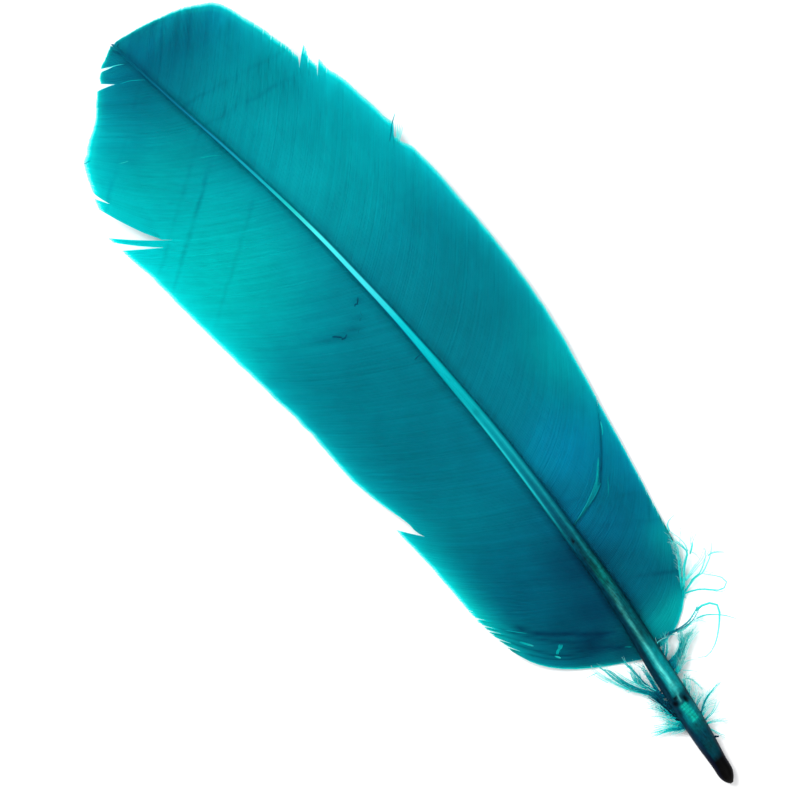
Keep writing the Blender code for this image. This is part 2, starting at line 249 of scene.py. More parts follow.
dye = {
    # colour halfway out on the vanes at each y
    "alongVane": [(46, "#008292"), (53, "#007488"), (62, "#006880"), (72, "#00637c"), (82, "#00647e"),
                  (94, "#007088"), (108, "#007d90"), (130, "#00788c"), (150, "#007a8c"), (165, "#007e90"),
                  (182, "#008598"), (194, "#0096a6"), (210, "#00a0ae"), (232, "#009aa8"), (246, "#008e9c"),
                  (258, "#007c90"), (268, "#005e78"), (277, "#00546c")],
    # the edge colour is painted light through the thin barb ends, the dark colour painted shade in the creases, and
    # navy both dye and painted shade beside the shaft
    "blue": "#0082b0", "navy": "#002846", "bright": "#00cecb", "edge": "#12dccc",
    "dark": "#00304e", "bar": "#004e68",
    # mm that the mark "growth" counts up to, and half the width of a fault bar
    "growthSpan": 300, "barReach": 0.75,
    # share of the painted edge light at the barb ends, painted shade beside the raised shaft in value and in navy,
    # and darker navy towards the shaft near the tip
    "rimLight": 0.64, "shade": 0.15, "shaftShadeNavy": 0.24, "tipNavy": 0.2,
    # thin enough for blue and green light to come through, which the dye lets pass and red doesn't
    "surface": {"Roughness": 0.55, "Specular IOR Level": 0.02, "Subsurface Weight": 1,
                "Subsurface Radius": (0.05, 1.0, 1.0), "Subsurface Scale": 0.0006},
    "bluePlaces": [(25, 105, 13, 13, 0.72), (15, 92, 8, 12, 0.4), (35, 92, 8, 14, 0.4), (20, 80, 9, 7, 0.3),
                   (30, 76, 7, 8, 0.25), (27, 270, 12, 6, 0.42), (12, 275, 11, 5, 0.3), (6, 112, 8, 12, 0.15)],
    "navyPlaces": [(1, 63, 12, 13, 0.7), (-5, 57, 9, 6.5, 0.85), (4, 76, 9, 13, 0.62), (14, 76, 6, 10, 0.3),
                   (1, 50.5, 6, 7, 0.86), (13, 94, 5, 9, 0.22), (-14, 84, 9, 18, 0.2), (12, 52, 5, 4, 0.2),
                   (-2, 116, 16, 24, 0.06), (34, 240, 8, 16, 0.2), (42, 212, 8, 24, 0.12), (22, 270.5, 14, 7, 0.7),
                   (12, 276.5, 11, 5, 0.66), (29, 261, 8, 7, 0.22), (-9, 66, 7, 7, 0.5), (5, 98, 6, 16, 0.24)],
    "brightPlaces": [(-22, 210, 24, 24, 0.85), (-32, 188, 9, 11, 0.55), (-22, 238, 22, 13, 0.42),
                     (-27, 256, 13, 12, 0.25), (20, 48.5, 12, 5, 0.5), (-26, 92, 5, 26, 0.28), (40, 128, 8, 14, 0.22),
                     (30, 66, 4, 8, 0.25)],
}


def barbMaterial(vane):
    # dyed keratin barbs: silky and nearly matt, streaked along each barb, with fine barbules across it; painted light
    # at the barb ends, painted shade in the creases and beside the shaft
    material, add, shader = newMaterial("dyedBarbs" + vane["name"].capitalize(), dye["surface"])
    strand = add("Attribute", "Vector", attribute_name="strand")
    place = add("TexCoord", "Object")
    along, tone, growth, dark = (
        add("Attribute", "Fac", attribute_name=mark) for mark in ("along", "tone", "growth", "dark"))
    base = add("ValToRGB", "Color", {"Fac": along}, stops=alongStops(dye["alongVane"]))
    # edge adds painted light at the barb ends; navy is dye and also painted shade beside the shaft
    for mark in ("blue", "navy", "bright", "edge"):
        amount = add("Attribute", "Fac", attribute_name=mark)
        base = add("Mix", 2, {0: amount, 6: base, 7: fromHex(dye[mark])}, data_type="RGBA")
    # streaks run some 12 mm along a barb and change from barb to barb
    stretched = add("VectorMath", 0, {0: strand, 1: (0.08, 0.45, 0)}, operation="MULTIPLY")
    streaks = add("TexNoise", "Fac", {"Vector": stretched, "Scale": 1, "Detail": 4, "Roughness": 0.65})
    # clouds of dye a centimetre or two across
    clouds = add("TexNoise", "Fac", {"Vector": place, "Scale": 75, "Detail": 3, "Roughness": 0.55})
    mixed = add("Math", 0, {0: streaks, 1: clouds}, operation="ADD")
    value = add("MapRange", 0, {"Value": mixed, "From Min": 0.6, "From Max": 1.4, "To Min": 0.84, "To Max": 1.16})
    # tone also carries the painted shade beside the shaft
    value = add("Math", 0, {0: value, 1: tone}, operation="MULTIPLY")
    base = add("HueSaturation", "Color", {"Value": value, "Color": base})
    # fault bars: thin dark lines where growth was checked, broken up by a fine noise
    shaken = add("TexNoise", "Fac", {"Vector": place, "Scale": 160, "Detail": 3})
    shaken = add("MapRange", 0, {"Value": shaken, "To Min": -0.004, "To Max": 0.004})
    shaken = add("Math", 0, {0: growth, 1: shaken}, operation="ADD")
    stops, span, reach = [(0.0, "#000000")], dye["growthSpan"], dye["barReach"]
    for y, depth in vane["faultBars"]:
        grey = "#" + f"{depth:02x}" * 3
        stops += [((y - reach) / span, "#000000"), (y / span, grey), ((y + reach) / span, "#000000")]
    bars = add("ValToRGB", "Color", {"Fac": shaken}, stops=stops)
    broken = add("TexNoise", "Fac", {"Vector": place, "Scale": 90, "Detail": 2})
    broken = add("MapRange", 0, {"Value": broken, "From Min": 0.4, "From Max": 0.6, "To Min": 0.15})
    bars = add("Math", 0, {0: bars, 1: broken}, operation="MULTIPLY")
    # fault bars, then the painted shade in the creases
    for amount, colour in ((bars, dye["bar"]), (dark, dye["dark"])):
        base = add("Mix", 2, {0: amount, 6: base, 7: fromHex(colour)}, data_type="RGBA")
    material.node_tree.links.new(base, shader.inputs["Base Color"])
    # barbules stand about 0.05 mm apart; drawn at 0.4 mm, so that they show
    ribs = add("TexWave", "Fac", {"Vector": strand, "Scale": 0.8, "Distortion": 0.6, "Detail": 1},
               bands_direction="X")
    bump = add("Bump", "Normal", {"Height": ribs, "Strength": 0.08, "Distance": 0.00003})
    material.node_tree.links.new(bump, shader.inputs["Normal"])
    return material


barb = {"spacing": 0.42, "rings": 15, "overlap": 0.7, "crest": 0.075, "edgeCrest": 0.045, "tilt": 0.012,
        "rootOffset": 0.12, "rootPull": 0.42, "endPull": 0.34, "splitCurve": 1.3,
        # locks near the edge: length along the shaft from and to, and where on a barb the lean starts
        "lock": (1.2, 4.5), "leanFrom": 0.84,
        # how far ends sway together, widest barb in spacings, and how much ends narrow and crests vary
        "sway": 0.25, "widest": 1.35, "endNarrowing": 0.55, "crestChange": 0.2,
        # how much heights vary, and how deep the barbs sink along the lines of painted shade in the creases
        "unlevel": 0.015, "darkDepth": 0.12}
leftVane = {
    "name": "leftVane", "side": -1, "seed": 4,
    # root y, end x, end y, root angle and end angle from the tip's direction
    "guides": [
        (43.2, -24.6, 69.5, 62, 18), (57, -26.4, 82, 58, 34), (71, -26.8, 98, 58, 41), (85, -27, 112.5, 60, 38),
        (100, -26.2, 125, 62, 42), (111, -28.2, 138, 63, 46), (130, -28.7, 157, 64, 48), (152, -31, 180, 64, 48),
        (172, -33, 200, 65, 46), (192, -34.6, 221, 65, 44), (206.6, -36.8, 237, 65, 44), (214, -34, 244.6, 66, 38),
        (220, -31.5, 251, 68, 32), (228, -28.9, 257.1, 70, 36), (240, -25, 260.8, 70, 50),
        (253, -17.2, 266.6, 68, 58), (265.7, -11, 272.8, 66, 62), (272.9, -7, 275.9, 68, 66),
        (278.4, -1, 279.3, 60, 60)],
    # root y, share where it opens, move and fade below it, move and fade above it
    "splits": [
        (90, 0.84, (-0.9, 2.4), 12, (3, -0.8), 14), (204.4, 0.72, (0.4, -2.4), 10, (0, 0.8), 2.2),
        (206.6, 0.68, (0, 0.2), 2.2, (3.3, 8), 16), (214, 0.92, (-0.5, -0.3), 5, (0.5, 0.2), 5),
        (265.7, 0.6, (-0.9, -0.8), 6, (1.1, 0.2), 5), (272.9, 0.25, (-0.2, -0.4), 4, (0.1, 0.4), 3)],
    # how far the painted edge light reaches in, how uneven the ends are and how far they lean into locks
    "edge": [(43, 2.6), (50, 3.8), (60, 3.2), (72, 1.9), (84, 1.4), (110, 1.4), (130, 1), (172, 1.3), (190, 2),
             (235, 1.5), (262, 0.9), (280, 0.5)],
    "uneven": [(43, 0.7), (57, 0.6), (64, 0.14), (72, 0.1), (200, 0.12), (215, 0.2), (240, 0.1), (280, 0.1)],
    "clumps": [(43, 0.5), (56, 0.45), (62, 0.08), (72, 0.02), (95, 0.02), (200, 0.03), (206, 0.06), (240, 0.03),
               (280, 0.02)],
    "lowRimLight": 0.4, "rimTone": [(43, 0), (235, 0), (250, 0.16), (280, 0.2)],
    "slant": [(40, 0.62), (280, 0.62)],
    "faultBars": [(96, 60), (121, 55), (150, 60), (176, 66), (200, 60), (222.5, 120), (239.2, 190), (245.3, 200),
                  (267, 150)],
    # lines of painted shade in the creases between barb groups, where the barbs also sink
    "dark": [
        (0.9, 0.75, [(-19.5, 75.3), (-17.3, 71.2), (-14.5, 68), (-11.4, 65.5), (-8.3, 63), (-4, 59), (0, 56)]),
        (0.75, 0.4, [(-24, 73.5), (-21.8, 69.6), (-20, 67), (-17.2, 62.6), (-15, 60.2), (-11.4, 57.4)]),
        (0.8, 0.5, [(-5.4, 56.4), (-2.3, 52.4), (0.8, 50.2)]),
        (0.65, 0.35, [(-16.4, 67.6), (-12.4, 63.2), (-8, 59.2)]), (0.6, 0.35, [(-12, 60.5), (-8, 57.4), (-4, 53.8)]),
        (0.55, 0.35, [(-14, 65), (-10.5, 61.8), (-5.6, 58)]),
        (0.6, 0.35, [(-23, 77.4), (-19.6, 71.8), (-16.6, 67.8), (-13.2, 64.6)]),
        (0.6, 0.35, [(-21.6, 66.4), (-18, 61.4), (-13, 57.2), (-8, 54.2)]), (0.5, 0.3, [(-4.9, 55.6), (-1, 51.4)]),
        (0.4, 0.35, [(-24.8, 76.6), (-22, 72.6), (-19.8, 69.4)]),
        (0.45, 0.3, [(-10, 57.6), (-5.4, 53.6), (-2, 51.2)]), (0.35, 1.4, [(-7.6, 174.6), (-3.8, 172), (2, 171.4)]),
        (0.3, 1, [(4, 173), (7, 177.4)])],
}
rightVane = {
    "name": "rightVane", "side": 1, "seed": 9,
    "guides": [
        (43.8, 32.2, 66, 96, 14), (60, 34.4, 77, 86, 26), (73, 37.5, 91, 82, 30), (86.4, 41.4, 110.6, 80, 30),
        (103, 45.6, 131.5, 74, 34), (125, 48.2, 154, 68, 37), (150, 48.7, 182, 64, 40), (175, 47.3, 208, 60, 40),
        (198, 44.7, 229.5, 58, 42), (218, 38.8, 246, 56, 44), (234, 34.6, 260, 54, 44), (247, 30.4, 269.6, 54, 46),
        (257, 22, 274.4, 56, 48), (267, 13, 277.2, 54, 52), (278.6, 1.6, 279.4, 50, 50)],
    "splits": [
        (86.4, 0.4, (-0.1, -0.25), 10, (0.1, 0.2), 10), (176, 0.8, (-1.9, -2), 9, (0.5, 0.7), 5),
        (207, 0.9, (0.9, 1), 4, (-0.7, -0.4), 3), (213.5, 0.9, (2.2, 1.4), 3.5, (-1, -0.3), 6)],
    "edge": [(43, 2.4), (60, 1.2), (75, 0.9), (95, 1.3), (130, 1.2), (170, 0.9), (190, 1), (205, 1.3), (250, 0.8),
             (262, 0.5), (280, 0.3)],
    "uneven": [(43, 0.35), (60, 0.2), (75, 0.1), (195, 0.12), (210, 0.25), (230, 0.14), (280, 0.1)],
    "clumps": [(43, 0.35), (60, 0.2), (75, 0.05), (95, 0.02), (198, 0.03), (214, 0.12), (235, 0.03), (280, 0.02)],
    "lowRimLight": 0.3, "rimTone": [(43, 0), (105, 0), (125, 0.2), (190, 0.12), (250, 0.22), (280, 0.2)],
    "slant": [(40, 0.62), (100, 0.58), (140, 0.3), (280, 0.22)],
    "faultBars": [(69, 235), (78, 90), (86.2, 235), (95.6, 225), (124, 60), (151, 70), (172, 70), (197, 80),
                  (244.5, 225), (253, 170)],
    # lines of painted shade in the creases between barb groups, where the barbs also sink
    "dark": [
        (0.85, 0.42, [(24.6, 89.6), (26.9, 91.3), (29.4, 94.1), (32.3, 97.5), (35.1, 101.2)]),
        (0.8, 0.35, [(35.1, 101.2), (37.3, 104.1), (40.1, 108.4), (43, 112.7)]),
        (0.45, 0.4, [(14, 86.2), (19.7, 87.6), (24.6, 89.4)]), (0.35, 0.5, [(36.4, 82), (33.6, 77.4), (31.6, 75.2)]),
        (0.3, 0.42, [(12.6, 244.1), (22.1, 241.2)]), (0.26, 0.38, [(29.2, 239.1), (35, 237)]),
        (0.22, 0.38, [(11.3, 251.6), (24.3, 248.2), (34.1, 245.6)]), (0.3, 0.35, [(26, 262.7), (30.7, 261.4)]),
        (0.35, 0.3, [(27, 88), (30.5, 91.5)]), (0.4, 0.45, [(10, 276.9), (15, 276.1), (20, 274.6), (27, 271.2)])],
}


def barbPoints(vane, roots, shares, above):
    # every barb's own smooth path from the shaft to the vane's edge
    endX, endY, rootAngle, endAngle = np.moveaxis(vane["guide"](roots), -1, 0)
    side = vane["side"]
    start = np.stack([middleAt(roots) + side * barb["rootOffset"] * widthAt(roots), roots], axis=-1)
    end = np.stack([endX, endY], axis=-1)
    reach = np.linalg.norm(end - start, axis=-1, keepdims=True)
    heading = [np.stack([side * np.sin(np.radians(a)), np.cos(np.radians(a))], axis=-1)
               for a in (rootAngle, endAngle)]
    pull = start + barb["rootPull"] * reach * heading[0]
    push = end - barb["endPull"] * reach * heading[1]
    t = shares[None, :, None]
    points = (1 - t) ** 3 * start + 3 * (1 - t) ** 2 * t * pull + 3 * (1 - t) * t**2 * push + t**3 * end
    for splitRoot, opens, belowMove, belowFade, aboveMove, aboveFade in vane["splits"]:
        isAbove = above[:, None] > splitRoot
        fade = np.where(isAbove, aboveFade, belowFade)
        move = np.where(isAbove[..., None], aboveMove, belowMove)
        amount = smooth(1 - np.abs(roots - splitRoot) / fade)
        amount = amount * np.clip((shares - opens) / (1 - opens), 0, 1)[None, :] ** barb["splitCurve"]
        points = points + amount[..., None] * move
    return points


def vanePiece(vane):
    rng = np.random.default_rng(vane["seed"])
    vane["guide"] = through(vane["guides"])
    lowest, highest = vane["guides"][0][0], vane["guides"][-1][0]
    count = int((highest - lowest) / barb["spacing"]) + 1
    roots = np.linspace(lowest, highest, count)
    shares = np.linspace(0, 1, barb["rings"])
    shares -= 0.08 * np.sin(2 * np.pi * shares)
    # near the edge the barbs lean together in small locks
    borders = [lowest - 1, highest + 1] + [split[0] for split in vane["splits"]]
    place = lowest
    while place < highest:
        place += rng.uniform(*barb["lock"])
        borders.append(place)
    borders = np.array(sorted(borders))
    lock = np.searchsorted(borders, roots) - 1
    lockMiddle = (borders[lock] + borders[lock + 1]) / 2
    lean = through(vane["clumps"])(roots)[:, None] * smooth((shares - barb["leanFrom"]) / (1 - barb["leanFrom"]))
    leaning = roots[:, None] + (lockMiddle - roots)[:, None] * lean
    plan = barbPoints(vane, leaning, shares, roots)
    # each barb ends a little short or long of its neighbours
    uneven = through(vane["uneven"])(roots) * rng.uniform(-1, 1, count) + barb["sway"] * wander(rng, roots, 3.5)
    heading = unit(plan[:, -1] - plan[:, -2])
    plan += (shares**6)[None, :, None] * (uneven[:, None] * heading)[:, None, :]
    ahead = unit(np.gradient(plan, axis=1))
    sideways = np.stack([-ahead[..., 1], ahead[..., 0]], axis=-1)
    spread = np.abs((np.gradient(plan, axis=0) * sideways).sum(axis=2))
    for split in vane["splits"]:
        above = int(np.searchsorted(roots, split[0]))
        spread[above - 1], spread[above] = spread[above - 2], spread[above + 1]
    halfWidth = barb["overlap"] * np.clip(spread, 0.1, barb["spacing"] * barb["widest"])
    halfWidth *= 1 - barb["endNarrowing"] * smooth((shares - 0.95) / 0.05)
    crest = (barb["crest"] + (barb["edgeCrest"] - barb["crest"]) * shares)[None, :] * np.ones((count, 1))
    crest *= 1 + barb["crestChange"] * wander(rng, roots, 1.3)[:, None]

    x, y = plan[..., 0], plan[..., 1]
    away = np.abs(x - middleAt(y))
    # painted shade along the creases between barb groups, where the barbs are also sunk a little
    dark = nearLines(vane["dark"], x, y)
    over = barb["unlevel"] * rng.uniform(-1, 1, count)[:, None] - barb["darkDepth"] * dark
    length = np.linalg.norm(plan[:, -1] - plan[:, 0], axis=1)
    toTip = (1 - shares)[None, :] * length[:, None]
    # painted light where light comes through the thin barb ends, and along the lowest barb's outer rim
    rimLight = np.exp(-(toTip / through(vane["edge"])(roots)[:, None]) ** 1.2)
    lowRimLight = np.exp(-((roots - lowest) / 0.55)[:, None] ** 2) * smooth(away / 14 - 0.2)
    tone = 1 + 0.03 * rng.uniform(-1, 1, count)
    tone = tone + 0.035 * wander(rng, roots, 1.8) + 0.03 * wander(rng, roots, 9)
    # painted shade beside the raised shaft, as darker tone and as navy
    besideShaft = np.exp(-(np.maximum(away - widthAt(y) / 2, 0) / 1.3) ** 2)
    rimTone = through(vane["rimTone"])(roots)[:, None]
    towardsShaft = np.exp(-(away / 9) ** 1.5) * smooth((y - 165) / 40)
    marks = {
        "along": y / feather["length"],
        # painted light at the thin barb ends
        "edge": np.maximum(dye["rimLight"] * rimLight, vane["lowRimLight"] * lowRimLight),
        # random barb tone, times painted shade beside the shaft and darker barb ends
        "tone": tone[:, None] * (1 - dye["shade"] * besideShaft) * (1 - rimTone * np.exp(-(toTip / 1.4) ** 2)),
        "blue": spots(dye["bluePlaces"], x, y),
        # navy dye patches plus painted shade beside the shaft, and darker navy towards it near the tip
        "navy": np.clip(spots(dye["navyPlaces"], x, y) + dye["shaftShadeNavy"] * besideShaft
                        + dye["tipNavy"] * towardsShaft, 0, 1),
        "bright": spots(dye["brightPlaces"], x, y) * (1 - 0.8 * towardsShaft),
        "growth": (y + away * through(vane["slant"])(y)) / dye["growthSpan"],
        "dark": dark,
    }
    centres = np.concatenate([plan, np.broadcast_to(over, (count, len(shares)))[..., None]], axis=2)
    return bentBars(vane["name"], centres, halfWidth, crest, marks, surface=vaneSurface, tilt=barb["tilt"])


for vane in (leftVane, rightVane):
    piece = vanePiece(vane)
    piece.data.materials.append(barbMaterial(vane))
    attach(piece, "root")
    print(vane["name"], len(piece.data.polygons), "faces")

shaft = {
    # rings crowd towards the quill's end by this power of their share
    "sides": 48, "rings": 460, "crowding": 1.55,
    "grooveReach": 0.3, "flat": 0.017,
    "surface": {"Roughness": 0.42, "Specular IOR Level": 0.03},
    # colours of the painted highlights along the rims, of the pith, of the painted highlight along the top and of the
    # painted shade in the pits
    "rims": "#1cbcc0", "pith": "#0aa897", "shine": "#5ae2d8", "pit": "#01040c",
    "groove": [(0, 0), (24, 0.1), (31, 0.35), (45, 0.45), (85, 0.6), (150, 0.35), (210, 0.12), (280, 0)],
    # x, y, reach across, reach along, depth; each pit is dug in and painted darker the deeper it is, as painted shade
    "pits": [(4.9, 27.4, 0.5, 1.2, 1.1), (1.7, 28.2, 0.85, 1, 0.6), (2.6, 29.5, 0.8, 0.35, 0.5),
             (9.4, 83.4, 0.5, 0.6, 0.25), (12, 129.8, 1, 1.4, 0.05)],
    # the skin's edge at the worn patch, a low step
    "step": {"from": 13.4, "rise": 0.5, "to": 19, "fade": 5, "height": 0.14},
    "ribs": {"from": 20.2, "to": 27.4, "middle": 3.3, "reach": 1.15, "spacing": 1.05, "height": 0.2},
    # painted highlight along the wet-looking top: y, x, half width, strength
    "paintedHighlightAt": [(27.4, 3.4, 0.3, 0), (28, 3.4, 0.3, 0.3), (29.4, 3.6, 0.3, 0.3), (30.6, 4.2, 0.8, 0.16),
                (32.4, 4.4, 1, 0.24), (34.8, 4.6, 0.5, 0.7), (36.8, 4.8, 0.6, 0.35), (38.6, 4.9, 0.5, 0.75),
                (42, 5.35, 0.5, 0.3), (45.2, 5.85, 0.42, 0.5), (48, 6.15, 0.4, 0.3), (52, 6.6, 0.4, 0.26),
                (58, 7.3, 0.5, 0.2), (64, 8.4, 0.5, 0.16), (68, 9, 0.5, 0)],
    # painted highlights: a bright line along the left rim and a fainter band along the right: y, strength, strength
    "paintedRimHighlightsAt": [(62, 0, 0), (76, 0, 0.14), (86, 0.15, 0.16), (96, 0.6, 0.2), (110, 1, 0.28), (124, 1, 0.25),
               (132, 0.5, 0.1), (140, 0.1, 0), (150, 0, 0)],
    # how far the painted shade on the left and right flanks reaches in across the shaft: y, left, right
    "shadedFlanks": [(0, 0.3, 0.2), (9, 0.7, 0.4), (16, 0.72, 0.26), (22, 0.6, 0.2), (28, 0.7, 0.25), (34, 0.77, 0.28),
               (45, 0.74, 0.36), (62, 0.72, 0.4), (78, 0.78, 0.32), (88, 0.2, 0.24), (120, 0.2, 0.26),
               (145, 0.22, 0.2), (160, 0.46, 0.46), (180, 0.5, 0.46), (200, 0.44, 0.46), (240, 0.5, 0.5),
               (280, 0.5, 0.5)],
    # colour of the painted shade on the flanks, along the shaft
    "flankShadeColours": [(0, "#030208"), (9, "#03081c"), (15, "#022436"), (24, "#002838"), (45, "#002634"),
                     (76, "#002c3c"), (95, "#004c66"), (150, "#005874"), (280, "#006480")],
    "rough": [(0, 0.3), (12, 0.6), (14, 0.8), (20, 0.7), (30, 0.6), (45, 0.6), (58, 0.8), (66, 1), (84, 0.6),
              (96, 0.3), (130, 0.16), (280, 0.1)],
    # colour along the shaft: dye, with the pale stretch from about y 165 to 205 partly painted highlight
    "colours": [(0, "#242321"), (1.4, "#080706"), (8.2, "#030406"), (9.2, "#002c38"), (12.8, "#00343c"),
                (16.4, "#003140"), (19, "#00454b"), (24, "#00666e"), (28.4, "#002c38"), (29.6, "#003a44"),
                (31, "#006e72"), (36, "#00767c"), (44, "#006a70"), (50, "#004046"), (58, "#00454c"), (64, "#004248"),
                (71, "#004844"), (77, "#00343c"), (84, "#003644"), (92, "#004456"), (106, "#005c6c"),
                (120, "#007884"), (136, "#009098"), (150, "#009ea6"), (164, "#04aab2"), (180, "#34c0c8"),
                (200, "#3acaca"), (210, "#18aca8"), (220, "#0c949e"), (240, "#0a748c"), (256, "#045e78"),
                (272, "#004a60")],
}


def shaftPiece():
    mesh, flat = rowOfBars("shaft", 1, shaft["rings"], shaft["sides"])
    share = np.clip(flat[:, 0], 0, 1)
    across, up = flat[:, 1], flat[:, 2]
    y = feather["length"] * share**shaft["crowding"]
    width, height = widthAt(y), heightAt(y)
    x = middleAt(y) + 0.5 * width * across
    onTop = np.clip(up * 1.5, 0, 1)
    groove = through(shaft["groove"])(y) * np.exp(-(across / shaft["grooveReach"]) ** 2) * onTop
    narrow = np.maximum(0, (heightAt(10.0) - heightAt(np.minimum(y, 10))) / 2)
    tall = np.maximum(0.5 * (1 + up) - shaft["flat"], 0) / (1 - shaft["flat"])
    z = liftAt(y) + narrow + height * tall - groove
    # painted shade in the pits, darker the deeper they are
    dark = np.zeros(len(y))
    for pitX, pitY, reachX, reachY, depth in shaft["pits"]:
        near = np.exp(-(((x - pitX) / reachX) ** 2 + ((y - pitY) / reachY) ** 2) ** 2) * onTop
        z -= depth * near
        dark = np.maximum(dark, near * min(1, 4 * depth))
    ribs = shaft["ribs"]
    inside = smooth((y - ribs["from"]) / 1.4) * smooth((ribs["to"] - y) / 0.9)
    inside = inside * np.exp(-((x - ribs["middle"]) / ribs["reach"]) ** 4) * onTop
    rib = np.sin(2 * np.pi * y / ribs["spacing"])
    z += ribs["height"] * inside * rib
    step = shaft["step"]
    z += step["height"] * smooth((y - step["from"]) / step["rise"]) * smooth((step["to"] - y) / step["fade"]) * onTop
    # painted highlight along the top of the shaft
    highlightX, highlightReach, highlightStrength = np.moveaxis(through(shaft["paintedHighlightAt"])(y), -1, 0)
    shine = np.clip(highlightStrength, 0, 1) * np.exp(-((x - highlightX) / highlightReach) ** 2) * onTop
    # painted highlights along the left rim and the right band
    leftRimHighlight, rightBandHighlight = np.moveaxis(through(shaft["paintedRimHighlightsAt"])(y), -1, 0)
    rims = np.maximum(leftRimHighlight * np.exp(-((across + 0.76) / 0.17) ** 2),
                      rightBandHighlight * np.exp(-((across - 0.42) / 0.26) ** 2)) * onTop
    # painted shade on the left and right flanks
    leftShade, rightShade = np.moveaxis(through(shaft["shadedFlanks"])(y), -1, 0)
    flank = np.maximum(smooth((-across - (1 - leftShade)) / 0.3), 0.8 * smooth((across - (1 - rightShade)) / 0.3))
    marks = {"along": y / feather["length"], "flank": flank, "pit": dark, "pith": inside * (0.68 + 0.32 * rib),
             "shine": shine, "rims": np.clip(rims, 0, 1), "rough": through(shaft["rough"])(y)}
    return placed("shaft", mesh, np.stack([x, y, z], axis=1), marks)


def shaftMaterial():
    # dyed horn: satin, streaked lengthwise, flaky where the skin has worn, black where the end took most dye, with
    # painted highlights on its top and rims and painted shade on its flanks and in its pits
    material, add, shader = newMaterial("dyedHorn", shaft["surface"])
    along = add("Attribute", "Fac", attribute_name="along")
    base = add("ValToRGB", "Color", {"Fac": along}, stops=alongStops(shaft["colours"]))
    place = add("TexCoord", "Object")
    # fibres some 0.3 mm wide and 4 mm long, and flakes of a millimetre or two
    fibres = add("Mapping", 0, {"Vector": place, "Scale": (3000, 250, 3000)})
    fibres = add("TexNoise", "Fac", {"Vector": fibres, "Scale": 1, "Detail": 5, "Roughness": 0.6})
    flakes = add("TexNoise", "Fac", {"Vector": place, "Scale": 700, "Detail": 5, "Roughness": 0.75})
    mixed = add("Math", 0, {0: fibres, 1: flakes}, operation="ADD")
    shadedFlanks = add("ValToRGB", "Color", {"Fac": along}, stops=alongStops(shaft["flankShadeColours"]))
    # painted shade on the flanks and in the pits, painted highlights on the rims and the top, and the pith's own
    # colour
    for mark in ("flank", "rims", "pith", "shine", "pit"):
        amount = add("Attribute", "Fac", attribute_name=mark)
        colour = shadedFlanks if mark == "flank" else fromHex(shaft[mark])
        base = add("Mix", 2, {0: amount, 6: base, 7: colour}, data_type="RGBA")
    rough = add("Attribute", "Fac", attribute_name="rough")
    uneven = add("MapRange", 0,
                 {"Value": mixed, "From Min": 0.72, "From Max": 1.28, "To Min": -0.75, "To Max": 0.75})
    value = add("Math", 0, {0: uneven, 1: rough, 2: 1.0}, operation="MULTIPLY_ADD")
    base = add("HueSaturation", "Color", {"Value": value, "Color": base})
    material.node_tree.links.new(base, shader.inputs["Base Color"])
    bump = add("Bump", "Normal", {"Height": mixed, "Strength": 0.5, "Distance": 0.0001})
    material.node_tree.links.new(bump, shader.inputs["Normal"])
    return material


stem = shaftPiece()
stem.data.materials.append(shaftMaterial())
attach(stem, "root")
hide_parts("feather")
print("shaft", len(stem.data.polygons), "faces")

down = {
    "seed": 21, "rings": 12, "hairRings": 5, "fluff": 2.3, "hairHalfWidth": 0.06,
    # hairs: length and angle from the strand, from and to
    "hairLength": (0.7, 2.2), "hairAngle": (0.35, 0.9),
    "surface": {"Roughness": 0.7, "Specular IOR Level": 0.04, "Subsurface Weight": 1,
                "Subsurface Radius": (0.3, 1.0, 1.0), "Subsurface Scale": 0.0004},
    # from wet and dark to thin and pale
    "tints": [(0, "#001c2c"), (0.2, "#00506a"), (0.4, "#00808e"), (0.6, "#00b8b6"), (0.8, "#4cdcd4"),
              (1, "#b4f4ee")],
}
